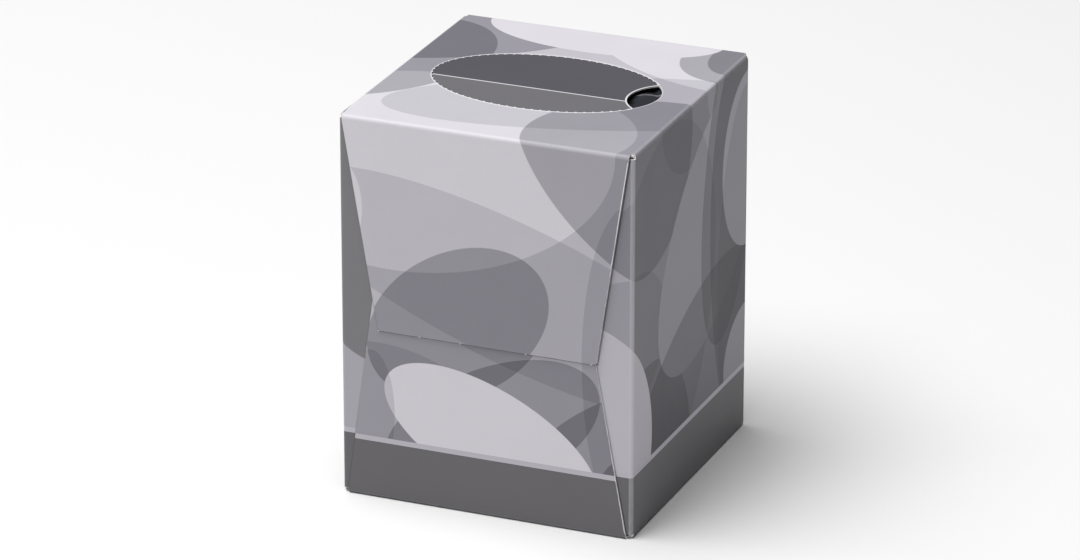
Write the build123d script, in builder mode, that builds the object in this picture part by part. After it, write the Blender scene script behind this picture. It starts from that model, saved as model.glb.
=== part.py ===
"""Upright tissue box: a folded and glued carton, its film window and the tissues inside.

The sleeve runs along Y and its two closed ends face -Y and +Y. The origin is at the middle of
the base, and +Z is up. All sizes are in millimetres.
"""

import os

from build123d import *

# Outside of the closed carton
width = 107.0
depth = 110.0
height = 139.0

# Board, creases and glue
board = 0.5
fold_radius = 1.4
glue_line = 0.1
tab_width = 14.0
tab_chamfer = 6.0
raw_edge_lift = 0.2

# Closure flaps: the top and bottom flaps overlap at mid height, over the dust flaps
flap_overlap = 14.0
flap_taper = 12.0
flap_corner = 1.0
dust_length = 40.0
dust_taper = 7.0
dust_corner = 5.0
corner_clearance = 0.2
corner_relief = 0.2

# Oval tear-out in the top panel, with its perforation and thumb hole
oval_end_margin = 12.5
oval_width = 52.0
perforation_pitch = 3.0
perforation_cut = 2.2
perforation_gap = 0.35
thumb_radius = 15.0
thumb_reach = 10.5

# Film window, glued by its border and slack inside it
film = 0.08
film_border = 8.0
film_corner = 6.0
film_sag = 6.0
film_slope_run = 4.0
glue_margin = 2.0
slit_end_margin = 6.0
slit_gap = 1.0

# Tissues, bent over as an inverted U
stack_clearance = 0.8
stack_headroom = 0.3
leg_gap = 3.0

# Worked out from the above
layer = board + glue_line
mid_radius = fold_radius - board / 2
top_face = depth / 2
bottom_face = top_face - layer
dust_face = bottom_face - layer
sleeve_half = dust_face - fold_radius - corner_relief
flap_length = (height + flap_overlap) / 2
oval_length = width - 2 * oval_end_margin
thumb_x = oval_length / 2 - thumb_reach + thumb_radius


def closure_flap(crease_z, inward, face_y, root_half):
    """A tapered flap hinged on the panel at crease_z; inward is +1 up from the base, -1 down from the top."""
    panel_z = crease_z + inward * board / 2
    flap_y = board / 2 - face_y
    tip_z = crease_z + inward * flap_length
    shoulder_z = crease_z + inward * fold_radius
    tip_half = root_half - flap_taper
    with BuildPart() as flap:
        with BuildSketch(Plane.YZ):
            with BuildLine():
                FilletPolyline((-sleeve_half, panel_z), (flap_y, panel_z), (flap_y, tip_z), radius=mid_radius)
            trace(line_width=board)
        extrude(amount=root_half, both=True)
        with BuildSketch(Plane.XZ) as outline:
            with BuildLine():
                Polyline(
                    (root_half, crease_z),
                    (root_half, shoulder_z),
                    (tip_half, tip_z),
                    (-tip_half, tip_z),
                    (-root_half, shoulder_z),
                    (-root_half, crease_z),
                    close=True,
                )
            make_face()
            fillet(outline.vertices().filter_by_position(Axis.Y, tip_z, tip_z), flap_corner)
        extrude(amount=depth, both=True, mode=Mode.INTERSECT)
    return flap.part


top_flap = closure_flap(height, -1, top_face, width / 2 - fold_radius - corner_clearance)
bottom_flap = closure_flap(0, 1, bottom_face, width / 2 - layer - fold_radius - corner_clearance)

# Dust flap on the right panel, innermost of the three layers
with BuildPart() as dust_flap:
    wall_x = (width - board) / 2
    dust_y = board / 2 - dust_face
    tip_x = width / 2 - dust_length
    shoulder_x = width / 2 - fold_radius
    root_low = fold_radius + corner_clearance
    root_high = height - root_low
    with BuildSketch(Plane.XY):
        with BuildLine():
            FilletPolyline((wall_x, -sleeve_half), (wall_x, dust_y), (tip_x, dust_y), radius=mid_radius)
        trace(line_width=board)
    extrude(amount=height)
    with BuildSketch(Plane.XZ) as dust_outline:
        with BuildLine():
            Polyline(
                (width / 2, root_low),
                (shoulder_x, root_low),
                (tip_x, root_low + dust_taper),
                (tip_x, root_high - dust_taper),
                (shoulder_x, root_high),
                (width / 2, root_high),
                close=True,
            )
        make_face()
        fillet(dust_outline.vertices().filter_by_position(Axis.X, tip_x, tip_x), dust_corner)
    extrude(amount=depth, both=True, mode=Mode.INTERSECT)

# Perforation slots at equal steps along the oval, leaving out those that the thumb hole takes
oval_line = Edge.make_ellipse(oval_length / 2, oval_width / 2)
slot_count = round(oval_line.length / perforation_pitch)
slots = []
for step in range(slot_count):
    along = oval_line.length * (step + 0.5) / slot_count
    point = oval_line.position_at(along, position_mode=PositionMode.LENGTH)
    angle = oval_line.tangent_angle_at(along, position_mode=PositionMode.LENGTH)
    if (point - Vector(thumb_x, 0)).length > thumb_radius + perforation_cut / 2:
        slots.append(Location(point, (0, 0, angle)))

with BuildPart() as carton:
    # Sleeve: one strip of board from the glue tab round to the raw edge of the left panel
    with BuildSketch(Plane.XZ):
        with BuildLine():
            tab_x = layer - (width - board) / 2
            FilletPolyline(
                (tab_x, tab_width),
                (tab_x, board / 2),
                (wall_x, board / 2),
                (wall_x, height - board / 2),
                (-wall_x, height - board / 2),
                (-wall_x, raw_edge_lift),
                radius=mid_radius,
            )
        trace(line_width=board)
    extrude(amount=sleeve_half, both=True)
    tab_corners = carton.edges().filter_by(Axis.X).filter_by_position(Axis.Z, tab_width, tab_width)
    chamfer(tab_corners, tab_chamfer)

    # The same closure at both ends
    left_dust_flap = mirror(dust_flap.part, about=Plane.YZ, mode=Mode.PRIVATE)
    for flap in (top_flap, bottom_flap, dust_flap.part, left_dust_flap):
        add(flap)
        mirror(flap, about=Plane.XZ)

    with BuildSketch(Plane.XY.offset(height)):
        with Locations(*slots):
            Rectangle(perforation_cut, perforation_gap)
    extrude(amount=-fold_radius, mode=Mode.SUBTRACT)
    with BuildSketch(Plane.XY.offset(height)):
        Ellipse(oval_length / 2, oval_width / 2)
        with Locations((thumb_x, 0)):
            Circle(thumb_radius, mode=Mode.INTERSECT)
    extrude(amount=-fold_radius, mode=Mode.SUBTRACT)

# Film: a flat glued border and a shallow slack dish with a slit along its floor
with BuildPart() as film_window:
    glue_z = height - board
    rim = (oval_length / 2 + glue_margin, oval_width / 2 + glue_margin)
    floor = (rim[0] - film_slope_run, rim[1] - film_slope_run)
    with BuildSketch(Plane.XY.offset(glue_z - film)):
        RectangleRounded(oval_length + 2 * film_border, oval_width + 2 * film_border, film_corner)
    extrude(amount=film)
    for skin_z, skin_mode in ((glue_z - film, Mode.ADD), (glue_z, Mode.SUBTRACT)):
        with BuildSketch(Plane.XY.offset(skin_z)):
            Ellipse(*rim)
        with BuildSketch(Plane.XY.offset(skin_z - film_sag)):
            Ellipse(*floor)
        loft(mode=skin_mode)
    with BuildSketch(Plane.XY.offset(glue_z - film_sag)):
        SlotOverall(2 * (floor[0] - slit_end_margin), slit_gap)
    extrude(amount=-film, mode=Mode.SUBTRACT)

# Tissues: interfolded, bent over once at the top, standing on the bottom panel
with BuildPart() as tissue_stack:
    stack_half = width / 2 - layer - fold_radius - stack_clearance
    stack_depth = 2 * (dust_face - board - stack_clearance)
    bend_z = height - board - film - film_sag - stack_headroom - stack_half
    with BuildSketch(Plane.XZ):
        with Locations((0, bend_z)):
            Circle(stack_half)
            Rectangle(2 * stack_half, bend_z - board, align=(Align.CENTER, Align.MAX))
            Circle(leg_gap / 2, mode=Mode.SUBTRACT)
            Rectangle(leg_gap, bend_z - board, align=(Align.CENTER, Align.MAX), mode=Mode.SUBTRACT)
    extrude(amount=stack_depth / 2, both=True)

carton.part.label = "carton"
film_window.part.label = "film_window"
tissue_stack.part.label = "tissue_stack"

os.makedirs("parts", exist_ok=True)
export_step(carton.part, "parts/carton.step")
export_step(film_window.part, "parts/film_window.step")
export_step(tissue_stack.part, "parts/tissue_stack.step")
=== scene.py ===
# %% [markdown]
# # A tissue box, folded from one sheet of printed board
# The measured model of the box is loaded first and stays as it is. It gives every size and place, and this
# lesson dresses it: the carton is folded again as a printed sheet, with its film window and its tissues
# inside.

# %% Load the measured frame
import math
import random
from collections import namedtuple

import bmesh
import bpy
from mathutils import Matrix, Vector, noise


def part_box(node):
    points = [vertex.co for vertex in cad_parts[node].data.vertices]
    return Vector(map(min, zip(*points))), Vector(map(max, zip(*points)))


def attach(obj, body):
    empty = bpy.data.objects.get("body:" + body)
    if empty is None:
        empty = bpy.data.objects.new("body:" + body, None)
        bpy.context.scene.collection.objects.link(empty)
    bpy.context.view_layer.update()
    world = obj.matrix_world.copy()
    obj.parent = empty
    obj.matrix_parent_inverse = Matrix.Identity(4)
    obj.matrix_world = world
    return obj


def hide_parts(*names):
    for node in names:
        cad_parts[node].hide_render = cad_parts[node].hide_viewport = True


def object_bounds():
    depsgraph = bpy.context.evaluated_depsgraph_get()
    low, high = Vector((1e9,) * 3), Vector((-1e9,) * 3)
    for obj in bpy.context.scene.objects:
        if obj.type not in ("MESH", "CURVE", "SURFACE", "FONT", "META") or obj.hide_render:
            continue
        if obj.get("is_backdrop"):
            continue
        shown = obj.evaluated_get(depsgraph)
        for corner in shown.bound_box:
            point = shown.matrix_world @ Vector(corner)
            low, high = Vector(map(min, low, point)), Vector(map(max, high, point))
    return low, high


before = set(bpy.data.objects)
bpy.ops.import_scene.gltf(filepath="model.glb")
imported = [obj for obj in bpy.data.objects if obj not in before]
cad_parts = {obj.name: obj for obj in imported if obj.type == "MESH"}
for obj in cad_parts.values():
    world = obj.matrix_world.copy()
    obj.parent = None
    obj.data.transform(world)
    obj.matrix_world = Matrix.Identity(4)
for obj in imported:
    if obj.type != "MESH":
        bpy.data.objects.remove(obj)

cad_low, cad_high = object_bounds()
print("frame nodes:", sorted(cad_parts))

# %% [markdown]
# ## Sizes of the board
# Folding boxboard is half a millimetre thick and bends round a scored line with a small radius. Three
# layers of it lie on each other at the closed ends, with a line of glue between, so each layer's face
# stands one layer further in. The sizes could be typed in wherever they are needed, but worked out from
# the carton's box and these few values, in metres, they stay true to each other.

# %% Sizes of the board
MM = 0.001
BOARD = 0.0005
GLUE_LINE = 0.0001
LAYER = BOARD + GLUE_LINE
FOLD = 0.0014
CLEAR = 0.0002

carton_low, carton_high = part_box("carton")
WIDTH, DEPTH, HEIGHT = carton_high - carton_low
TOP_FACE = DEPTH / 2
BOTTOM_FACE = TOP_FACE - LAYER
DUST_FACE = BOTTOM_FACE - LAYER
SLEEVE = DUST_FACE - FOLD - CLEAR


def in_mm(*lengths):
    """Lengths in millimetres, for the printed notes."""
    return [round(length / MM, 2) for length in lengths]


print("carton in mm:", in_mm(WIDTH, DEPTH, HEIGHT))

# %% [markdown]
# ## The camera
# The box is seen from its right and from above, from far away through a long lens, so its edges run almost
# parallel. A camera could be turned by hand, but an azimuth, an elevation and a distance are easier to read
# and to change. `to_track_quat` turns the camera's -Z towards the point that it looks at.

# %% Camera
AZIMUTH = math.radians(22.49)
ELEVATION = math.radians(21.96)
DISTANCE = 2.105
LOOK_AT = Vector((-0.0017, -0.0018, 0.0670))
SENSOR = 36
LENS = 203.5

away = Vector((
    math.sin(AZIMUTH) * math.cos(ELEVATION),
    -math.cos(AZIMUTH) * math.cos(ELEVATION),
    math.sin(ELEVATION),
))
camera = bpy.data.objects.new("camera", bpy.data.cameras.new("camera"))
camera.data.sensor_width = SENSOR
camera.data.lens = LENS
camera.location = LOOK_AT + away * DISTANCE
camera.rotation_euler = (-away).to_track_quat("-Z", "Y").to_euler()
bpy.context.scene.collection.objects.link(camera)
bpy.context.scene.camera = camera
print("camera at", [round(c, 3) for c in camera.location])

# %% [markdown]
# ## Walking a sheet round the pack
# A carton is one flat blank, creased and folded. It could be modelled as six plates, but plates have no
# folds. Here an edge is walked along the board instead: `extrude_edge_only` lays down a flat panel, and
# `spin` turns the same edge round the middle of a crease. Three values are kept on the points for the
# finish: crease inside a fold, cut_edge along a cut, and print_shift, which says how far a point's print
# lies from the point itself.

# %% Walking helpers
CREASE_STEPS = 8
TINY = 0.00001


def points_of(edges):
    """The points of some edges, each of them once."""
    return list(dict.fromkeys(v for e in edges for v in e.verts))


def front_of(made):
    """The edges and points of what an extrusion or a spin has just made at its front."""
    points = [g for g in made if isinstance(g, bmesh.types.BMVert)]
    edges = [g for g in made if isinstance(g, bmesh.types.BMEdge)]
    return [e for e in edges if all(v in points for v in e.verts)], points


def lay_flat(sheet, edges, step):
    """Extrude the edges by one step and return the new front edges."""
    edges, points = front_of(bmesh.ops.extrude_edge_only(sheet, edges=edges)["geom"])
    bmesh.ops.translate(sheet, vec=step, verts=points)
    return edges


def turn(sheet, edges, centre, axis, angle, steps):
    """Spin the edges round an axis and return the new front edges and points."""
    made = bmesh.ops.spin(
        sheet, geom=[*points_of(edges), *edges], cent=centre, axis=axis, angle=angle, steps=steps,
        use_merge=False,
    )
    return front_of(made["geom_last"])


def turn_crease(sheet, edges, centre, axis, angle, wear):
    """Turn the edges round a crease, note its wear and painted highlight, and return the new front edges."""
    known = set(sheet.verts)
    edges, points = turn(sheet, edges, centre, axis, angle, CREASE_STEPS)
    crease_paleness = sheet.verts.layers.float["crease"]
    for vert in set(sheet.verts) - known - set(points):
        vert[crease_paleness] = wear
    return edges


def edges_within(sheet, low, high):
    """The open edges of the sheet that lie inside a box."""
    def inside(point):
        return all(least - TINY <= c <= most + TINY for least, c, most in zip(low, point, high))

    return [e for e in sheet.edges if e.is_boundary and all(inside(v.co) for v in e.verts)]


def new_piece(name, shape):
    """An object at the origin that holds the shape's mesh."""
    mesh = bpy.data.meshes.new(name)
    shape.to_mesh(mesh)
    shape.free()
    piece = bpy.data.objects.new(name, mesh)
    bpy.context.scene.collection.objects.link(piece)
    return piece


# %% [markdown]
# ## The sleeve
# The walk starts at the free edge of the glue tab, inside the left panel, and goes down, under the box, up
# the right side, over the top and down the left side. It could be one long strip, but each panel is laid as
# a narrow strip, the panel and a narrow strip again: the strips keep the flat panels flat when the folds are
# shaded smoothly, and the panel between them is as wide as the flap that grows out of it. The folds are
# painted paler, partly as worn ink and partly as a painted highlight along each fold, more on the top than
# at the foot.

# %% Sleeve
TAB = 0.014
RAW_EDGE_LIFT = 0.0002
# Wear and painted highlight: how pale the folds at the foot and at the top are painted.
FOOT_WEAR_AND_HIGHLIGHT = 0.1
TOP_WEAR_AND_HIGHLIGHT = 0.6
QUARTER = math.pi / 2
ALONG_X, ALONG_Y, ALONG_Z = Matrix.Identity(3)

sheet = bmesh.new()
sheet.verts.layers.float.new("crease")
sheet.verts.layers.float.new("cut_edge")
sheet.verts.layers.float_vector.new("print_shift")
tab_x = -WIDTH / 2 + LAYER
ends = [sheet.verts.new((tab_x, y, TAB)) for y in (-SLEEVE, SLEEVE)]
edges = [sheet.edges.new(ends)]

# Each panel: direction, length, last strip, middle of the next fold, and its wear and painted highlight.
left, right, low, high = FOLD - WIDTH / 2, WIDTH / 2 - FOLD, FOLD, HEIGHT - FOLD
walk = [
    (-ALONG_Z, TAB - low, CLEAR, (left + LAYER, low), FOOT_WEAR_AND_HIGHLIGHT),
    (ALONG_X, right - left - LAYER, LAYER + CLEAR, (right, low), FOOT_WEAR_AND_HIGHLIGHT),
    (ALONG_Z, high - low, CLEAR, (right, high), TOP_WEAR_AND_HIGHLIGHT),
    (-ALONG_X, right - left, CLEAR, (left, high), TOP_WEAR_AND_HIGHLIGHT),
    (-ALONG_Z, high - RAW_EDGE_LIFT, low + CLEAR - RAW_EDGE_LIFT, None, 0.0),
]
for direction, length, last_strip, fold_centre, wear in walk:
    for part in (CLEAR, length - CLEAR - last_strip, last_strip):
        edges = lay_flat(sheet, edges, direction * part)
    if fold_centre:
        centre = Vector((fold_centre[0], 0, fold_centre[1]))
        edges = turn_crease(sheet, edges, centre, -ALONG_Y, QUARTER, wear)
print("sleeve:", len(sheet.faces), "faces")

# %% [markdown]
# ## The closure flaps
# At each end a bottom flap folds up over the dust flaps, and a top flap folds down over both. They could be
# plates laid on the end, but all three are the same steps: a short lead out of the sleeve, a crease, a flat
# run and a tip that is scaled narrower. One function does it for every flap, `bevel` on the two tip points
# rounds the die-cut corners, and `inset_region` lays a hair line of faces along the cut, where the ink
# breaks away. A flap is never folded quite square, so its tip may lean to one side. The print was laid on
# the flat blank, so a dust flap goes on with its side panel's shapes, as if it were still unfolded, and the
# bottom flap's print sits a little lower than that of the panels beside it.

# %% One flap
MIDDLE = Matrix.Translation((0, 0, -HEIGHT / 2))
SUPPORT = 0.0012
CUT_RIM = 0.0005
CLEAN_CUT = 0.28
ROUGH_CUT = 1.0
CORNER_STEPS = 5


def add_flap(sheet, edges, lead, centre, axis, angle, wear, run, across, narrowing, lean, corner, printed_at):
    """Fold one flap out of the sleeve's open edges.

    narrowing is the tip's share of the root's width, and lean is how far the tip stands to one side.
    """
    known = set(sheet.verts)
    edges = lay_flat(sheet, edges, lead)
    edges = turn_crease(sheet, edges, centre, axis, angle, wear)
    folded = set(sheet.faces)
    walked, width = 0.0, 1.0
    for reached in (SUPPORT / run.length, 1.0):
        edges = lay_flat(sheet, edges, run * (reached - walked))
        tip = points_of(edges)
        wanted = 1 - (1 - narrowing) * reached
        narrower = Vector((1, 1, 1)) + across * (wanted / width - 1)
        bmesh.ops.scale(sheet, vec=narrower, space=MIDDLE, verts=tip)
        bmesh.ops.translate(sheet, vec=across * lean * (reached - walked), verts=tip)
        walked, width = reached, wanted
    bmesh.ops.bevel(
        sheet, geom=tip, affect="VERTICES", offset=corner, segments=CORNER_STEPS, profile=0.5, material=-1,
        clamp_overlap=True,
    )
    flat = [f for f in sheet.faces if f not in folded]
    bmesh.ops.inset_region(sheet, faces=flat, thickness=CUT_RIM, use_boundary=True, use_even_offset=True)
    for vert in set(sheet.verts) - known:
        vert[sheet.verts.layers.float_vector["print_shift"]] = printed_at(vert.co) - vert.co
        if vert.is_boundary and folded.isdisjoint(vert.link_faces):
            along = (vert.co - centre).dot(run.normalized())
            on_the_right = vert.co.x * vert.co.y < 0 and along < run.length - corner
            vert[sheet.verts.layers.float["cut_edge"]] = ROUGH_CUT if on_the_right else CLEAN_CUT


# %% Top and bottom flaps
FLAP_OVERLAP = 0.014
FLAP = (HEIGHT + FLAP_OVERLAP) / 2
FLAP_TAPER = 0.012
FLAP_CORNER = 0.0010
PRINT_SLIP = ALONG_Z * 0.0016

Closure = namedtuple("Closure", "crease_z inward face half lean wear shade printed_at")
top_closure = Closure(
    HEIGHT, -1, TOP_FACE, WIDTH / 2 - FOLD - CLEAR, lean=0.0007, wear=0.5, shade=0.6,
    printed_at=lambda point: point,
)
bottom_closure = Closure(
    0.0, 1, BOTTOM_FACE, WIDTH / 2 - LAYER - FOLD - CLEAR, lean=-0.0017, wear=0.1, shade=0.3,
    printed_at=lambda point: point + PRINT_SLIP,
)
for end in (-1, 1):
    for flap in (top_closure, bottom_closure):
        root_left = (-flap.half, end * SLEEVE, flap.crease_z)
        root_right = (flap.half, end * SLEEVE, flap.crease_z)
        add_flap(
            sheet,
            edges_within(sheet, root_left, root_right),
            lead=ALONG_Y * end * (flap.face - FOLD - SLEEVE),
            centre=Vector((0, end * (flap.face - FOLD), flap.crease_z + flap.inward * FOLD)),
            axis=ALONG_X,
            angle=end * flap.inward * QUARTER,
            wear=flap.wear,
            run=ALONG_Z * flap.inward * (FLAP - FOLD),
            across=ALONG_X,
            narrowing=(flap.half - FLAP_TAPER) / flap.half,
            lean=flap.lean,
            corner=FLAP_CORNER,
            printed_at=flap.printed_at,
        )
print("with closure flaps:", len(sheet.faces), "faces")

# %% Dust flaps
DUST = 0.040
DUST_TAPER = 0.007
DUST_CORNER = 0.0050
# Painted highlight: the dust-flap folds on the right are painted pale and those on the left are not, so the
# right ones look lit.
SIDE_WEAR_AND_HIGHLIGHT = {-1: 0.0, 1: 1.0}

dust_half = HEIGHT / 2 - FOLD - CLEAR


def unfolded(point):
    """Where a point of a dust flap lies if the flap is turned back in line with its side panel."""
    side, end = math.copysign(1, point.x), math.copysign(1, point.y)
    return Vector((side * WIDTH / 2, end * (abs(point.y) + WIDTH / 2 - abs(point.x)), point.z))


for end in (-1, 1):
    for side in (-1, 1):
        root_low = (side * WIDTH / 2, end * SLEEVE, HEIGHT / 2 - dust_half)
        root_high = (side * WIDTH / 2, end * SLEEVE, HEIGHT / 2 + dust_half)
        add_flap(
            sheet,
            edges_within(sheet, root_low, root_high),
            lead=ALONG_Y * end * (DUST_FACE - FOLD - SLEEVE),
            centre=Vector((side * (WIDTH / 2 - FOLD), end * (DUST_FACE - FOLD), 0)),
            axis=ALONG_Z,
            angle=end * side * QUARTER,
            wear=SIDE_WEAR_AND_HIGHLIGHT[side],
            run=ALONG_X * -side * (DUST - FOLD),
            across=ALONG_Z,
            narrowing=(dust_half - DUST_TAPER) / dust_half,
            lean=0.0,
            corner=DUST_CORNER,
            printed_at=unfolded,
        )
if max(sheet.faces, key=lambda f: f.calc_center_median().z).normal.z < 0:
    bmesh.ops.reverse_faces(sheet, faces=sheet.faces)
carton = new_piece("carton_sleeve", sheet)
print("folded sheet:", len(carton.data.polygons), "faces")

# %% [markdown]
# ## Board thickness, perforation and thumb hole
# The sheet so far is only the printed face. A Solidify modifier gives it the board behind, with the inside
# and the raw cut edges as materials of their own. The oval tear-out is held by the uncut nicks of its
# perforation: short slots, cut right through, at equal steps along the oval. They could be drawn into the
# panel's mesh, but cutting them with a Boolean keeps the panel one flat face. The thumb hole at the oval's
# end is where a circle and the oval overlap.

# %% Oval and thumb hole
OVAL_END_MARGIN = 0.0125
OVAL_A = WIDTH / 2 - OVAL_END_MARGIN
OVAL_B = 0.026
THUMB_RADIUS = 0.015
THUMB_REACH = 0.0105
THUMB_X = OVAL_A - THUMB_REACH + THUMB_RADIUS
ROUND = 128
CUT_DEEP = 4 * BOARD

# The carton's finishes, in the order of its material slots.
PRINTED, INNER, RAW, SLOT_WALL = range(4)


def prism(name, radius_x, radius_y, x):
    """An upright cylinder, round or oval, through the top panel."""
    shape = bmesh.new()
    place = Matrix.Translation((x, 0, HEIGHT)) @ Matrix.Diagonal((radius_x, radius_y, CUT_DEEP, 1))
    bmesh.ops.create_cone(
        shape, cap_ends=True, segments=ROUND, radius1=1, radius2=1, depth=1, matrix=place
    )
    for face in shape.faces:
        face.material_index = RAW
    return new_piece(name, shape)


thumb_cutter = prism("thumb_cutter", THUMB_RADIUS, THUMB_RADIUS, THUMB_X)
oval_cutter = prism("oval_cutter", OVAL_A, OVAL_B, 0)
print("oval in mm:", in_mm(2 * OVAL_A, 2 * OVAL_B))

# %% Perforation
FINE_STEPS = 7200
PITCH = 0.003
SLOT = 0.0022
SLOT_GAP = 0.00035


def slot_places():
    """Where each slot goes: equal steps along the oval, leaving out those that the thumb hole takes."""
    fine = [2 * math.pi * i / FINE_STEPS for i in range(FINE_STEPS + 1)]
    points = [Vector((OVAL_A * math.cos(t), OVAL_B * math.sin(t), HEIGHT)) for t in fine]
    lengths = [(b - a).length for a, b in zip(points, points[1:])]
    step = sum(lengths) / round(sum(lengths) / PITCH)
    walked, due = 0.0, step / 2
    for a, b, length in zip(points, points[1:], lengths):
        walked += length
        if walked >= due:
            due += step
            if (a - Vector((THUMB_X, 0, HEIGHT))).length > THUMB_RADIUS + SLOT / 2:
                yield Matrix.Translation(a) @ Matrix.Rotation(math.atan2(b.y - a.y, b.x - a.x), 4, "Z")


slots = bmesh.new()
slot_size = Matrix.Diagonal((SLOT, SLOT_GAP, CUT_DEEP, 1))
places = list(slot_places())
for place in places:
    bmesh.ops.create_cube(slots, size=1, matrix=place @ slot_size)
for face in slots.faces:
    face.material_index = SLOT_WALL
slot_cutter = new_piece("slot_cutter", slots)
print("perforation slots:", len(places))

# %% Thickness and cuts
def cut(piece, operation, other):
    """A Boolean with another piece, whose faces keep their own finish."""
    boolean = piece.modifiers.new(operation.lower(), "BOOLEAN")
    boolean.operation = operation
    boolean.object = other
    boolean.solver = "EXACT"
    boolean.material_mode = "INDEX"


def apply_modifiers(piece):
    """Put the modified mesh in the place of the plain one."""
    seen = piece.evaluated_get(bpy.context.evaluated_depsgraph_get())
    piece.data = bpy.data.meshes.new_from_object(seen)
    piece.modifiers.clear()


def shade(piece, sharp_degrees=35):
    """Smooth shading, with the sharper edges kept crisp."""
    piece.data.shade_smooth()
    piece.data.set_sharp_from_angle(angle=math.radians(sharp_degrees))


def add_thickness(piece, thickness):
    """A Solidify modifier that grows inwards from the face that is there."""
    solidify = piece.modifiers.new("thickness", "SOLIDIFY")
    solidify.thickness = thickness
    solidify.offset = -1
    solidify.use_even_offset = True
    return solidify


board = add_thickness(carton, BOARD)
board.material_offset = INNER
board.material_offset_rim = RAW
for _ in (PRINTED, INNER, RAW, SLOT_WALL):
    carton.data.materials.append(None)
cut(thumb_cutter, "INTERSECT", oval_cutter)
cut(carton, "DIFFERENCE", slot_cutter)
cut(carton, "DIFFERENCE", thumb_cutter)
apply_modifiers(carton)
shade(carton)
for cutter in (slot_cutter, thumb_cutter, oval_cutter):
    bpy.data.objects.remove(cutter)
print("carton:", len(carton.data.polygons), "faces")

# %% [markdown]
# ## The film window
# A slack film is glued under the oval and hangs as a shallow dish, with a slit that the tissues come
# through. A flat grid could be pushed down, but its squares wouldn't follow the oval. Rings do: the glued
# rim is a circle made oval, and each ring is extruded from the last one, made smaller and lowered, until
# the last ring is the slit. The rim has far more points than the film's cut outline, so `triangle_fill`
# joins the two. The slack film billows up behind the thumb hole, as a bell curve of the distance, and a
# little noise makes it wrinkle.

# %% Rings of the film
FILM = 0.00008
GLUE_MARGIN = 0.002
SLOPE_RUN = 0.004
SLIT = 0.033
SLIT_LIP = 0.0005
RIM_POINTS = 192
SLOPE_RINGS = 8
FLOOR_RINGS = 18

film_low, film_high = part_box("film_window")
SAG = film_high.z - film_low.z - FILM
rim_a, rim_b = OVAL_A + GLUE_MARGIN, OVAL_B + GLUE_MARGIN
floor_a, floor_b = rim_a - SLOPE_RUN, rim_b - SLOPE_RUN


def film_rings():
    """Half length, half width and height of each ring: down an eased slope, then flat to the slit."""
    for i in range(1, SLOPE_RINGS + 1):
        share = i / SLOPE_RINGS
        drop = SAG * share * share * (3 - 2 * share)
        yield rim_a - SLOPE_RUN * share, rim_b - SLOPE_RUN * share, film_high.z - drop
    for i in range(1, FLOOR_RINGS + 1):
        share = i / FLOOR_RINGS
        yield floor_a + (SLIT - floor_a) * share, floor_b + (SLIT_LIP - floor_b) * share, film_high.z - SAG


dish = bmesh.new()
glued = Matrix.Translation((0, 0, film_high.z))
rim_place = glued @ Matrix.Diagonal((rim_a, rim_b, 1, 1))
bmesh.ops.create_circle(dish, segments=RIM_POINTS, radius=1, matrix=rim_place)
rim = list(dish.edges)
ring, last_a, last_b, last_z = rim, rim_a, rim_b, film_high.z
for a, b, z in film_rings():
    ring = lay_flat(dish, ring, ALONG_Z * (z - last_z))
    bmesh.ops.scale(dish, vec=(a / last_a, b / last_b, 1), verts=points_of(ring))
    last_a, last_b, last_z = a, b, z
print("film rings:", SLOPE_RINGS + FLOOR_RINGS)

# %% Outline of the film
FILM_CORNER = 0.006
FILM_CORNER_STEPS = 6

film_place = glued @ Matrix.Diagonal((film_high.x, film_high.y, 1, 1))
corners = bmesh.ops.create_grid(dish, x_segments=1, y_segments=1, size=1, matrix=film_place)["verts"]
bmesh.ops.bevel(
    dish, geom=corners, affect="VERTICES", offset=FILM_CORNER, segments=FILM_CORNER_STEPS, profile=0.5,
    material=-1,
)
flat = max(dish.faces, key=lambda f: f.calc_area())
cut_edges = list(flat.edges)
bmesh.ops.delete(dish, geom=[flat], context="FACES_ONLY")
bmesh.ops.triangle_fill(dish, edges=[*cut_edges, *rim], use_beauty=True)
bmesh.ops.recalc_face_normals(dish, faces=dish.faces)
if max(dish.faces, key=lambda f: f.calc_area()).normal.z < 0:
    bmesh.ops.reverse_faces(dish, faces=dish.faces)
print("film outline:", len(cut_edges), "edges")

# %% Slack of the film
WRINKLE = 0.0006
WRINKLES_PER_METRE = (90, 140)
WRINKLE_SLICE = 3.7
WRINKLE_LIFT = 0.3
RIM_EASE = 4
BILLOW = 0.85
BILLOW_AT = Vector((0.0346, 0.0056))
BILLOW_WIDTH = 0.011
FILM_SHARP_DEGREES = 60

for vert in dish.verts:
    lifted = BILLOW * math.exp(-((vert.co.xy - BILLOW_AT).length / BILLOW_WIDTH) ** 2)
    off_rim = max(0.0, 1 - math.hypot(vert.co.x / rim_a, vert.co.y / rim_b))
    waves = [c * count for c, count in zip(vert.co.xy, WRINKLES_PER_METRE)]
    ruck = max(0.0, noise.noise(Vector((*waves, WRINKLE_SLICE))) + WRINKLE_LIFT)
    vert.co.z += lifted * (film_high.z - vert.co.z) + min(1.0, RIM_EASE * off_rim) * WRINKLE * ruck
film = new_piece("film_dish", dish)
add_thickness(film, FILM)
apply_modifiers(film)
shade(film, FILM_SHARP_DEGREES)
print("film:", len(film.data.polygons), "faces, sags by", *in_mm(SAG), "mm")

# %% [markdown]
# ## The tissues
# Some ninety interfolded tissues are bent once over their middle to stand in the box as an upside-down U.
# They could be ninety sheets, but only their edges at the two ends ever show. So a row of points, one for
# each few sheets, is walked up one leg, round the bend and down the other, which gives one end of the pack
# with its layer lines. Extruding that end through the box gives the pack, and moving each layer a little
# inwards at the ends makes the lines visible.

# %% One end of the pack
LAYERS = 44
BEND_STEPS = 28
LEG_GAP = 0.003

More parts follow.
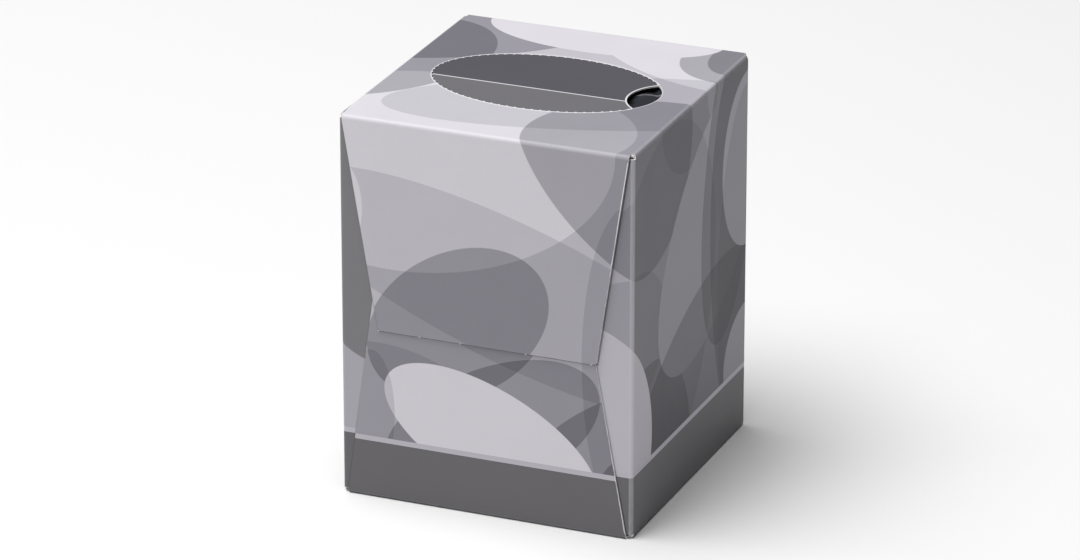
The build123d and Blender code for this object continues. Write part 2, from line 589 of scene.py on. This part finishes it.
pack_low, pack_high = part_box("tissue_stack")
bend_z = pack_high.z - pack_high.x
pack = bmesh.new()
layer_number = pack.verts.layers.int.new("layer")
row = []
for i in range(LAYERS + 1):
    across = LEG_GAP / 2 + (pack_high.x - LEG_GAP / 2) * i / LAYERS
    row.append(pack.verts.new((across, pack_low.y, pack_low.z)))
    row[-1][layer_number] = i
front = [pack.edges.new(pair) for pair in zip(row, row[1:])]
front = lay_flat(pack, front, ALONG_Z * (bend_z - pack_low.z))
front, _ = turn(pack, front, (0, 0, bend_z), -ALONG_Y, math.pi, BEND_STEPS)
lay_flat(pack, front, ALONG_Z * (pack_low.z - bend_z))
print("end of the pack:", len(pack.faces), "faces")

# %% The whole pack
SEED = 5
LAYER_SHIFT = 0.0005

rng = random.Random(SEED)
deep = bmesh.ops.extrude_face_region(pack, geom=list(pack.faces), use_keep_orig=True)["geom"]
deep = [g for g in deep if isinstance(g, bmesh.types.BMVert)]
bmesh.ops.translate(pack, vec=ALONG_Y * (pack_high.y - pack_low.y), verts=deep)
bmesh.ops.recalc_face_normals(pack, faces=pack.faces)
shifts = [LAYER_SHIFT * rng.random() for _ in range(LAYERS + 1)]
for vert in pack.verts:
    vert.co.y -= math.copysign(shifts[vert[layer_number]], vert.co.y)
loose = sum(not e.is_manifold for e in pack.edges)
tissues = new_piece("tissue_pack", pack)
shade(tissues)
print("tissues:", len(tissues.data.polygons), "faces,", loose, "open edges")

# %% [markdown]
# ## Torn fibres
# Die-cutting leaves a few white specks of torn board: along the free edge of the top flaps, where the nicks
# of the cutting form broke, and at most corners of each end, where three panels part: a thin web of pulp
# and three tufts round it. Each is a tiny lump, half sunk in the board's edge. Hair particles would be finer
# than anyone can see, so an icosphere with its points pushed about by seeded random numbers is enough at
# this size.

# %% Where the board is torn
SPECK = 0.00022
SPECKS_AT = (-0.0392, -0.0240, -0.0090, 0.0150, 0.0388)
SPECK_SUNK = Vector((0, 0.0002, 0.0001))
SPECK_LONG = (1.0, 2.4)
SPECK_HIGH = (0.6, 1.1)
TUFT = 0.00034
TUFT_REACH = 0.0007
TUFT_ANGLES = (15, 60, 110)
TUFT_LONG = (0.7, 1.2)
TUFT_HIGH = (0.8, 1.3)
FLATTENED = 0.8
WEB = 0.0008
WEB_INWARD = 0.0005
WEB_DEEP = 0.0003
WEB_STRETCH = (1.0, 0.3, 0.8)
TORN_CORNERS = ((-1, 1), (1, -1), (1, 1))

tears = []
for end in (-1, 1):
    for x in SPECKS_AT:
        point = Vector((x, end * (TOP_FACE - SPECK_SUNK.y), HEIGHT - FLAP - SPECK_SUNK.z))
        stretch = (rng.uniform(*SPECK_LONG), FLATTENED, rng.uniform(*SPECK_HIGH))
        tears.append((point, SPECK, stretch))
    for side, outward in TORN_CORNERS:
        fold_z = HEIGHT - FOLD if outward > 0 else FOLD
        corner = Vector((side * (WIDTH / 2 - FOLD), end * (SLEEVE + CLEAR), fold_z))
        web = corner - Vector((side * WEB_INWARD, end * WEB_DEEP, outward * WEB_INWARD / 2))
        tears.append((web, WEB, WEB_STRETCH))
        for angle in TUFT_ANGLES:
            turned = math.radians(angle)
            out = Vector((side * math.cos(turned), 0, outward * math.sin(turned)))
            stretch = (rng.uniform(*TUFT_LONG), FLATTENED, rng.uniform(*TUFT_HIGH))
            tears.append((corner + out * TUFT_REACH, TUFT, stretch))
print("tears:", len(tears))

# %% Torn fibres
RAGGED = 0.2

torn = bmesh.new()
for point, radius, stretch in tears:
    spot = Matrix.Translation(point) @ Matrix.Diagonal((*stretch, 1))
    lump = bmesh.ops.create_icosphere(torn, subdivisions=2, radius=radius, matrix=spot)["verts"]
    for vert in lump:
        vert.co += Vector((rng.uniform(-1, 1), 0, rng.uniform(-1, 1))) * radius * RAGGED
fibres = new_piece("torn_fibres", torn)
print("torn fibres:", len(fibres.data.polygons), "faces")

# %% [markdown]
# ## Writing shader maths
# A material is a net of nodes, and sums are hard to read in it. They could be drawn node by node, but one
# small class that wraps a socket lets arithmetic on it add the Math nodes, and its one method `node` adds
# any other node: first its settings, then what its sockets hold or are linked to. A wire that goes from 0
# to 1 is a mask: `past` and `short_of` make one at an edge, and `paint` lays a colour where it is 1.

# %% A wire between nodes
EDGE_BLUR = 0.00008
NOISE_ROUGHNESS = 0.55
MIX_UNDER, MIX_OVER, MIX_RESULT = 6, 7, 2


class Wire:
    """A socket in a material; arithmetic on it adds Math nodes."""

    def __init__(self, tree, socket=None):
        self.tree = tree
        self.socket = socket

    def feed(self, node, values):
        """Set or link a node's sockets, by name or by number."""
        for key, value in values.items():
            if isinstance(value, Wire):
                self.tree.links.new(value.socket, node.inputs[key])
            else:
                node.inputs[key].default_value = value

    def node(self, kind, settings, values, output=0):
        """Add a node and return a wire from one of its outputs."""
        made = self.tree.nodes.new(kind)
        for name, setting in settings.items():
            setattr(made, name, setting)
        self.feed(made, values)
        return Wire(self.tree, made.outputs[output])

    def maths(self, operation, first, second=0.0, clamp=False):
        """A Math node on two values."""
        settings = {"operation": operation, "use_clamp": clamp}
        return self.node("ShaderNodeMath", settings, {0: first, 1: second})

    def __add__(self, other):
        return self.maths("ADD", self, other)

    def __radd__(self, other):
        return self.maths("ADD", other, self)

    def __sub__(self, other):
        return self.maths("SUBTRACT", self, other)

    def __rsub__(self, other):
        return self.maths("SUBTRACT", other, self)

    def __mul__(self, other):
        return self.maths("MULTIPLY", self, other)

    def __rmul__(self, other):
        return self.maths("MULTIPLY", other, self)

    def __abs__(self):
        return self.maths("ABSOLUTE", self)

    def larger_of(self, other):
        """Whichever of two wires is larger."""
        return self.maths("MAXIMUM", self, other)

    def limited(self):
        """Kept between 0 and 1."""
        return self.maths("ADD", self, 0.0, clamp=True)

    def past(self, edge, blur=EDGE_BLUR):
        """0 up to an edge, and 1 from as far beyond it as the blur is wide."""
        return ((self - edge) * (1 / blur)).limited()

    def short_of(self, edge, blur=EDGE_BLUR):
        """1 until as far before an edge as the blur is wide, and 0 from the edge on."""
        return ((edge - self) * (1 / blur)).limited()

    def axes(self):
        """The three coordinates of this vector."""
        parts = self.node("ShaderNodeSeparateXYZ", {}, {0: self}).socket.node
        return [Wire(self.tree, parts.outputs[axis]) for axis in "XYZ"]

    def paint(self, under, colour, blend="MIX"):
        """A colour laid over the one under it where this wire is 1."""
        settings = {"data_type": "RGBA", "blend_type": blend}
        values = {"Factor": self, MIX_UNDER: under, MIX_OVER: colour}
        return self.node("ShaderNodeMix", settings, values, MIX_RESULT)

    def specks(self, size, detail=2.0):
        """Noise from 0 to 1 whose lumps are about that size, in metres."""
        values = {"Vector": self, "Scale": 1 / size, "Detail": detail, "Roughness": NOISE_ROUGHNESS}
        return self.node("ShaderNodeTexNoise", {}, values)

    def bump(self, distance, strength=1.0):
        """A Normal that takes this wire as its height."""
        values = {"Height": self, "Distance": distance, "Strength": strength}
        return self.node("ShaderNodeBump", {}, values)


def start_finish(name):
    """A new material, and a wire from its Object coordinates."""
    finish = bpy.data.materials.new(name)
    finish.use_nodes = True
    return finish, Wire(finish.node_tree).node("ShaderNodeTexCoord", {}, {}, "Object")


def finish_surface(finish, wire, values):
    """Feed the material's own Principled shader."""
    wire.feed(finish.node_tree.nodes["Principled BSDF"], values)


# %% [markdown]
# ## The printed face
# The carton is printed in translucent greys and pale lilac: large rounded shapes that lie over each other
# and run on across the folds, with a plain band and a light stripe round the foot. A picture could be
# wrapped round the box, but shapes in space are sharper at any size. Each shape is an ellipsoid that cuts
# the panels: a Mapping node moves a point into the ellipsoid's own space, and its length there says whether
# the point is inside. A translucent ink multiplies what lies under it, and an opaque one hides it. The right
# panel is painted darker than the rest, up to the middle of the fold above it: painted shade on the side
# turned from the lamp. One pale shape over it runs on across the front fold, partly print and partly
# painted light where that side meets the front.

# %% Inks and shapes
PAPER = (0.565, 0.545, 0.600, 1)
PALE = (0.735, 0.715, 0.765, 1)
SLATE = (0.58, 0.58, 0.595, 1)
MIST = (0.80, 0.80, 0.81, 1)
DEEP = (0.225, 0.220, 0.232, 1)
PAINTED_SIDE_SHADE = (0.53, 0.53, 0.54, 1)

# Each shape: its middle and half sizes in millimetres, its turns in degrees, its ink and how it is laid.
pebbles = [
    ((-20, -45, 128), (70, 45, 42), (0, -12, 0), PALE, "MIX"),
    ((60, -40, 128), (62, 40, 34), (0, 38, 0), SLATE, "MULTIPLY"),
    ((-10, -40, 70), (40, 40, 26), (0, -34, 0), SLATE, "MULTIPLY"),
    ((10, -50, 84), (90, 30, 26), (0, 18, 0), MIST, "MULTIPLY"),
    ((64, -40, 24), (60, 40, 36), (0, -24, 0), SLATE, "MULTIPLY"),
    ((2, -45, 34), (46, 36, 22), (0, -30, 0), SLATE, "MULTIPLY"),
    ((-40, -50, 20), (50, 30, 40), (0, 0, 0), MIST, "MULTIPLY"),
    ((2, -45, 30), (46, 24, 21), (0, 24, 0), PALE, "MIX"),
    ((50, 60, 139), (60, 44, 30), (0, 0, -25), PALE, "MIX"),
    ((-60, 50, 139), (70, 44, 30), (0, 0, 28), SLATE, "MULTIPLY"),
    ((-64, 4, 139), (34, 46, 20), (0, 0, -24), SLATE, "MULTIPLY"),
    ((30, -10, 139), (80, 26, 24), (0, 0, 20), MIST, "MULTIPLY"),
    ((53, 20, 90), (20, 60, 34), (40, 0, 0), PALE, "MIX"),
    ((53, -30, 70), (20, 50, 70), (-20, 0, 0), MIST, "MULTIPLY"),
    ((53, 60, 60), (24, 40, 90), (10, 0, 0), SLATE, "MULTIPLY"),
    ((53, 0, 30), (24, 70, 34), (25, 0, 0), SLATE, "MULTIPLY"),
    ((53, 38, 104), (24, 26, 64), (-12, 0, 0), SLATE, "MULTIPLY"),
    ((-53, 0, 80), (20, 70, 34), (-35, 0, 0), PALE, "MIX"),
    ((-53, 30, 40), (24, 60, 40), (20, 0, 0), SLATE, "MULTIPLY"),
    # Partly print and partly painted shade: a deep shape on the front left dust flap, recessed beside the top
    # flap.
    ((-54, -76, 114), (3, 40, 66), (8, 0, 0), DEEP, "MIX"),
    ((-42, -48, 34), (12, 9, 32), (0, 0, 0), MIST, "MULTIPLY"),
    ((20, 55, 110), (70, 30, 36), (0, 20, 0), PALE, "MIX"),
    ((10, 55, 36), (70, 30, 26), (0, 14, 0), PALE, "MIX"),
    ((-30, 55, 80), (90, 30, 30), (0, -25, 0), SLATE, "MULTIPLY"),
    ((50, 55, 60), (40, 30, 70), (0, 0, 0), MIST, "MULTIPLY"),
    ((54, 249, 80), (3, 200, 300), (0, 0, 0), DEEP, "MIX"),
]
corner_print_and_light = ((54, -78, 34), (7, 42, 44), (14, 0, 0), PAPER, "MIX")
print("printed shapes:", len(pebbles) + 1)

# %% Ovals in space
OVAL_BLUR = 1 / 260


def inside_oval(place, centre, half, turns=(0, 0, 0)):
    """1 inside an ellipsoid, 0 outside it, with an edge that is a share of its size."""
    values = {"Vector": place, "Location": centre, "Rotation": turns, "Scale": half}
    local = place.node("ShaderNodeMapping", {"vector_type": "TEXTURE"}, values)
    reach = local.node("ShaderNodeVectorMath", {"operation": "LENGTH"}, {0: local}, "Value")
    return reach.short_of(1, OVAL_BLUR)


def print_pebble(place, ink, pebble):
    """The ink with one shape printed over it."""
    centre, half, turns, colour, blend = pebble
    centre = [MM * c for c in centre]
    half = [MM * h for h in half]
    turns = [math.radians(t) for t in turns]
    return inside_oval(place, centre, half, turns).paint(ink, colour, blend)


# %% Printed board
FOLD_TURN = FOLD * (1 - math.sqrt(0.5))

printed, place = start_finish("printed_board")
shift = place.node("ShaderNodeAttribute", {"attribute_name": "print_shift"}, {}, "Vector")
crease_paleness = place.node("ShaderNodeAttribute", {"attribute_name": "crease"}, {}, "Fac")
cut_edge = place.node("ShaderNodeAttribute", {"attribute_name": "cut_edge"}, {}, "Fac")
print_place = place.node("ShaderNodeVectorMath", {"operation": "ADD"}, {0: place, 1: shift}, "Vector")
print_z = print_place.axes()[2]
x, y, z = place.axes()

ink = PAPER
for pebble in pebbles:
    ink = print_pebble(print_place, ink, pebble)
# Painted shade: the right panel and the upper half of the fold above it are darkened, as the side turned from
# the light.
on_panel = x.past(WIDTH / 2 - CLEAR, CLEAR)
on_fold = x.past(WIDTH / 2 - FOLD) * z.past(HEIGHT - FOLD)
below_turn = z.short_of(HEIGHT - FOLD_TURN, CLEAR)
ink = on_panel.larger_of(on_fold * below_turn).paint(ink, PAINTED_SIDE_SHADE, "MULTIPLY")
# Partly print and partly painted light: a plain-paper shape takes the painted side shade off near the front
# fold.
ink = print_pebble(print_place, ink, corner_print_and_light)
print("ink nodes:", len(printed.node_tree.nodes))

# %% Band and stripe
STRIPE = (0.55, 0.53, 0.585, 1)
STRIPE_TOP = 0.02445
BAND = (0.152, 0.147, 0.156, 1)
BAND_TOP = 0.0226

ink = print_z.short_of(STRIPE_TOP).paint(ink, STRIPE)
ink = print_z.short_of(BAND_TOP).paint(ink, BAND)
print("band and stripe up to, in mm:", in_mm(BAND_TOP, STRIPE_TOP))

# %% [markdown]
# ## The printed tear-out
# The oval is a field of dark grey in two tones, parted by a white line, with a white outline that the
# perforation runs along. It could be a piece of its own, but on the box it is ink as well, so it is masked
# out of the top panel: the same oval as the cutters', a little larger for the outline and a little smaller
# for the field. Round the thumb hole a white rim is painted on the oval's side and a thin paler line on the
# panel's: partly the outline, partly a painted highlight where the hole's raw edge catches the light.

# %% The printed tear-out
OVAL_DARK = (0.105, 0.100, 0.118, 1)
OVAL_GREY = (0.172, 0.167, 0.182, 1)
WHITE = (0.80, 0.79, 0.82, 1)
OUTLINE_OUT = (0.00055, 0.0010)
OUTLINE_IN = (-0.0001, -0.0001)
LINE_Y = -0.0065
LINE_HALF = 0.00033
HOLE_RIM = 0.0006
HOLE_LINE = (0.00045, 0.0005)
HOLE_LINE_INK_AND_HIGHLIGHT = 0.6


def tear_out_mask(place, grow):
    """1 inside the tear-out's oval on the top panel, made longer and wider by grow."""
    return inside_oval(place, (0, 0, HEIGHT), (OVAL_A + grow[0], OVAL_B + grow[1], HEIGHT))


thumb_half = THUMB_RADIUS + HOLE_RIM
at_hole = inside_oval(place, (THUMB_X, 0, HEIGHT), (thumb_half, thumb_half, HEIGHT))
on_top = z.past(HEIGHT - FOLD / 2)
ink = (on_top * tear_out_mask(place, OUTLINE_OUT) * (1 - at_hole)).paint(ink, WHITE)
# Partly outline and partly painted highlight: a thin pale line round the thumb hole on the panel's side.
ink = (on_top * tear_out_mask(place, HOLE_LINE) * at_hole * HOLE_LINE_INK_AND_HIGHLIGHT).paint(ink, WHITE)
within = on_top * tear_out_mask(place, OUTLINE_IN)
ink = within.paint(ink, OVAL_GREY)
ink = (within * y.past(LINE_Y)).paint(ink, OVAL_DARK)
ink = (within * abs(y - LINE_Y).short_of(LINE_HALF)).paint(ink, WHITE)
# Partly outline and partly painted highlight: a white rim round the thumb hole, where the raw edge would
# catch the light.
ink = (within * at_hole).paint(ink, WHITE)
print("with the tear-out:", len(printed.node_tree.nodes), "nodes")

# %% [markdown]
# ## Wear on the print
# Ink cracks and fades along a worn fold and breaks away along a die-cut edge; the pale fold is also a
# painted highlight along each crease. The narrow step beside a flap is darkened as painted shade, where
# the flap's edge casts its shadow. The marks could be painted by hand on a picture, but the values kept on
# the points say where a fold or a cut lies, and the flap's own taper says where its step lies. A thin satin
# varnish goes over all.

# %% Painted shade beside the flaps
STEP_WIDTH = 0.0006
STEP_REACH = 0.040


def beside_flap(rise, flap):
    """Painted shade: 1 in the step along a closure flap's cut edges, fading away from it.

    rise is the way from the flap's crease, and the step is darkest near that crease and under the tip.
    x and y are the place on the carton.
    """
    share = (rise - FOLD) * (1 / (FLAP - FOLD))
    side = abs(x - share * flap.lean) - flap.half + share * FLAP_TAPER
    below = rise - FLAP
    outside = side.larger_of(below)
    behind = abs(y).short_of(flap.face - BOARD / 2)
    fading = outside.short_of(STEP_WIDTH, STEP_WIDTH / 2)
    near_crease = rise.short_of(STEP_REACH, STEP_REACH) * (1 - flap.shade)
    gaping = (flap.shade + near_crease + below.past(0)).limited()
    return behind * outside.past(0) * fading * gaping


# %% Wear and painted shade
RUB = 0.0022
RUB_DETAIL = 3.0
FADE_AND_HIGHLIGHT = 0.22
FADE_RUBBED = 0.16
PAINTED_STEP_SHADE = (0.06, 0.06, 0.065, 1)
STEP_DARKNESS = 0.85
BARE = (0.93, 0.92, 0.92, 1)
BARE_FROM = 0.15
BARE_RAGGED = 0.55
BARE_BLUR = 0.25

rub = place.specks(RUB, RUB_DETAIL)
# Wear and painted highlight: each fold's ink is lightened towards white by the paleness kept on its points.
ink = (crease_paleness * (FADE_AND_HIGHLIGHT + rub * FADE_RUBBED)).paint(ink, WHITE)
at_ends = abs(y).past(SLEEVE)
steps = beside_flap(HEIGHT - z, top_closure) + beside_flap(z, bottom_closure)
# Painted shade: the step beside each closure flap is darkened where the flap's edge casts its shadow.
ink = (at_ends * steps.limited() * STEP_DARKNESS).paint(ink, PAINTED_STEP_SHADE)
ink = (cut_edge - rub * BARE_RAGGED).past(BARE_FROM, BARE_BLUR).paint(ink, BARE)
print("with wear:", len(printed.node_tree.nodes), "nodes")

# %% Fibres and varnish
FIBRE = 0.0004
FIBRE_DETAIL = 3.0
CLOUD = 0.018
TONE_LEAST = 0.93
FIBRE_TONE = 0.08
CLOUD_TONE = 0.06
FIBRE_RELIEF = 0.00002
CLOUD_RELIEF = 0.0002
RELIEF_STRENGTH = 0.6

fibre = place.specks(FIBRE, FIBRE_DETAIL)
cloud = place.specks(CLOUD)
tone = TONE_LEAST + fibre * FIBRE_TONE + cloud * CLOUD_TONE
relief = fibre * FIBRE_RELIEF + cloud * CLOUD_RELIEF
finish_surface(printed, place, {
    "Base Color": ink.node("ShaderNodeVectorMath", {"operation": "SCALE"}, {0: ink, "Scale": tone}, "Vector"),
    "Roughness": 0.40 + cloud * 0.12 + fibre * 0.06,
    "Normal": relief.bump(1.0, RELIEF_STRENGTH),
    "Specular IOR Level": 0.25,
    "Coat Weight": 0.04,
    "Coat Roughness": 0.25,
})
print("printed board:", len(printed.node_tree.nodes), "nodes")

# %% [markdown]
# ## The unprinted board
# Cut edges show the pale pulp between the two faces, and the inside of the carton is plain grey recycled
# board with flecks of fibre. The perforation's slots are darker: the knife drags ink down their walls, and
# their dark colour is also painted shade for the narrow slots. Where the board is torn its white pulp stands
# out. Pictures of board could be laid on, but such small faces need only noise as fine as the fibres, rough
# and unvarnished, so one function makes all four.

# %% Raw, inked and shaded, torn and inner board
FLECK = 0.0016
FLECK_DETAIL = 1.0
FLECK_FROM = 0.68
FLECK_BLUR = 1 / 6
FLECK_GREY = (0.22, 0.21, 0.20, 1)


def fibrous_finish(name, fibre_size, detail, pale, dark, rough, rougher, relief, strength, flecked=False):
    """A matt finish of fibres in two tones, with dark flecks where they are asked for."""
    finish, place = start_finish(name)
    fibre = place.specks(fibre_size, detail)
    pulp = fibre.paint(pale, dark)
    if flecked:
        fleck = place.specks(FLECK, FLECK_DETAIL)
        pulp = fleck.past(FLECK_FROM, FLECK_BLUR).paint(pulp, FLECK_GREY)
    finish_surface(finish, place, {
        "Base Color": pulp,
        "Roughness": rough + fibre * rougher,
        "Normal": fibre.bump(relief, strength),
    })
    return finish


raw_edge = fibrous_finish(
    "raw_edge", fibre_size=0.0003, detail=4.0, pale=(0.95, 0.94, 0.94, 1), dark=(0.84, 0.83, 0.82, 1),
    rough=0.75, rougher=0.2, relief=0.00008, strength=0.7,
)
# Partly ink and partly painted shade: the slot walls are dark as the narrow slots would lie in shade.
inked_and_shaded_cut = fibrous_finish(
    "inked_and_shaded_cut", fibre_size=0.0002, detail=3.0, pale=(0.10, 0.10, 0.11, 1), dark=(0.17, 0.16, 0.17, 1),
    rough=0.7, rougher=0.2, relief=0.00005, strength=0.5,
)
torn_fibre = fibrous_finish(
    "torn_fibre", fibre_size=0.0002, detail=3.0, pale=(0.93, 0.92, 0.91, 1), dark=(0.80, 0.79, 0.78, 1),
    rough=0.85, rougher=0.1, relief=0.00005, strength=0.6,
)
inner_board = fibrous_finish(
    "inner_board", fibre_size=0.0005, detail=4.0, pale=(0.47, 0.45, 0.42, 1), dark=(0.38, 0.36, 0.34, 1),
    rough=0.8, rougher=0.15, relief=0.00006, strength=0.6, flecked=True,
)
print("board finishes:", [m.name for m in (raw_edge, inked_and_shaded_cut, torn_fibre, inner_board)])

# %% [markdown]
# ## The film's finish
# The film is thin and glossy, with a dark tint and a faint haze, so only part of the light goes straight
# through: the dark tint is painted shade, for the dim inside of the box seen through the thumb hole. A pale
# line is painted along the crest of the film's billow, a painted highlight where the film would catch the
# lamp, and it shows in the thumb hole. A glass shader would bend the light as a thick pane does, so the film
# is a glossy surface that is partly see-through.

# %% The film's finish
DARK_SHADE_TINT = (0.034, 0.036, 0.044, 1)
HAZE_SHADE_TINT = (0.042, 0.044, 0.053, 1)
PAINTED_GLINT = (0.20, 0.20, 0.21, 1)
HAZE = 0.012
RIPPLE = 0.006
RIPPLE_DEEP = 0.0002
GLINT_AT = Vector((0.0346, 0.0059))
GLINT_ACROSS = Vector((-0.330, 0.944))
GLINT_HALF = 0.0007
GLINT_EDGE = 0.0003
GLINT_WAVER = 0.0016
WAVER_LENGTH = 0.004

clear_film, place = start_finish("clear_film")
haze = place.specks(HAZE)
film_x, film_y, _ = place.axes()
off_glint = (film_x - GLINT_AT.x) * GLINT_ACROSS.x + (film_y - GLINT_AT.y) * GLINT_ACROSS.y
waver = (place.specks(WAVER_LENGTH) - 0.5) * GLINT_WAVER
# Painted highlight: a pale, wavering line along the crest of the film's billow.
glint_line = abs(off_glint + waver).short_of(GLINT_HALF, GLINT_EDGE)
# Painted shade: the film's dark tint stands for the dim inside of the box.
finish_surface(clear_film, place, {
    "Base Color": glint_line.paint(haze.paint(DARK_SHADE_TINT, HAZE_SHADE_TINT), PAINTED_GLINT),
    "Roughness": 0.08 + haze * 0.08,
    "Alpha": 0.72 + haze * 0.12,
    "Normal": place.specks(RIPPLE).bump(RIPPLE_DEEP),
})
print("film finish:", len(clear_film.node_tree.nodes), "nodes")

# %% [markdown]
# ## The tissue's finish
# Tissue is white, matt and creped: fine ridges run across it. They could be modelled, but they are as fine
# as a hair, so a Wave texture bent by noise gives them as bump.

# %% The tissue's finish
TISSUE_WHITE = (0.93, 0.93, 0.92, 1)
TISSUE_GREY = (0.84, 0.84, 0.83, 1)
PULP = 0.0009
PULP_DETAIL = 4.0
CREPE_SHARE = 0.6
CREPE_RELIEF = 0.0002
CREPE_STRENGTH = 0.6

creped_tissue, place = start_finish("creped_tissue")
pulp = place.specks(PULP, PULP_DETAIL)
crepe = place.node("ShaderNodeTexWave", {"wave_profile": "SIN", "bands_direction": "X"}, {
    "Vector": place, "Scale": 280, "Distortion": 6.0, "Detail": 2.0, "Detail Scale": 1.5,
}, "Fac")
ridges = crepe * CREPE_SHARE + pulp * (1 - CREPE_SHARE)
finish_surface(creped_tissue, place, {
    "Base Color": pulp.paint(TISSUE_WHITE, TISSUE_GREY),
    "Roughness": 0.88 + pulp * 0.1,
    "Normal": ridges.bump(CREPE_RELIEF, CREPE_STRENGTH),
})
print("tissue finish:", len(creped_tissue.node_tree.nodes), "nodes")

# %% [markdown]
# ## Dressing the frame
# Each piece takes its finish, rides with the box's one body and stands for the measured solid of the same
# form, which is hidden. The torn fibres are too small to have a solid, so they only ride along. Parenting by
# hand would do the same; here one helper parents each piece to the body's empty.

# %% Finishes and places in the frame
board_finishes = {PRINTED: printed, INNER: inner_board, RAW: raw_edge, SLOT_WALL: inked_and_shaded_cut}
for index, finish in board_finishes.items():
    carton.data.materials[index] = finish
film.data.materials.append(clear_film)
tissues.data.materials.append(creped_tissue)
fibres.data.materials.append(torn_fibre)

for piece in (carton, film, tissues, fibres):
    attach(piece, "root")
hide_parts("carton")
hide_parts("film_window")
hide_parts("tissue_stack")
print("pieces:", [p.name for p in (carton, film, tissues, fibres)])

# %% [markdown]
# ## Floor and light
# The box stands in a pale studio. Several lamps could be set against each other, but one large soft lamp,
# high and a little to the front left, is enough: the top is brightest, the front a third darker and the
# right side darker again, and a near-white floor bounces light into the shadows. The Standard view keeps
# white paper white.

# %% Floor
FLOOR_HALF = 4
FLOOR_LIGHT = (0.96, 0.96, 0.96, 1)
FLOOR_DARK = (0.94, 0.94, 0.94, 1)
FLOOR_CLOUD = 0.4

ground = bmesh.new()
bmesh.ops.create_grid(ground, x_segments=1, y_segments=1, size=FLOOR_HALF)
floor = new_piece("floor", ground)
floor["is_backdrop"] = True
pale_floor, place = start_finish("pale_floor")
finish_surface(pale_floor, place, {
    "Base Color": place.specks(FLOOR_CLOUD).paint(FLOOR_LIGHT, FLOOR_DARK),
    "Roughness": 0.9,
})
floor.data.materials.append(pale_floor)
print("floor:", 2 * FLOOR_HALF, "m wide")

# %% Light
LAMP_AT = Vector((-0.65, -0.62, 3.10))
LAMP_SIZE = 2.6
LAMP_POWER = 124
SKY = 0.10

lamp = bpy.data.objects.new("key_softbox", bpy.data.lights.new("key_softbox", "AREA"))
lamp.data.size = LAMP_SIZE
lamp.data.energy = LAMP_POWER
lamp.location = LAMP_AT
lamp.rotation_euler = (Vector((0, 0, HEIGHT / 2)) - LAMP_AT).to_track_quat("-Z", "Y").to_euler()
bpy.context.scene.collection.objects.link(lamp)

world = bpy.data.worlds.new("studio")
world.use_nodes = True
world.node_tree.nodes["Background"].inputs["Color"].default_value = (1, 1, 1, 1)
world.node_tree.nodes["Background"].inputs["Strength"].default_value = SKY
bpy.context.scene.world = world
bpy.context.scene.view_settings.view_transform = "Standard"
print("lamp at", [round(c, 2) for c in lamp.location])

# %% [markdown]
# ## Measuring the result
# The dressed box has to be as large as the measured one. It could be judged by eye, but here both boxes
# are measured and set side by side, and the dressed one is printed in millimetres.

# %% Measure and finish
low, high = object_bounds()
{"cad": [list(cad_low), list(cad_high)], "visual": [list(low), list(high)]}
print("visual box in mm:", in_mm(*low, *high))
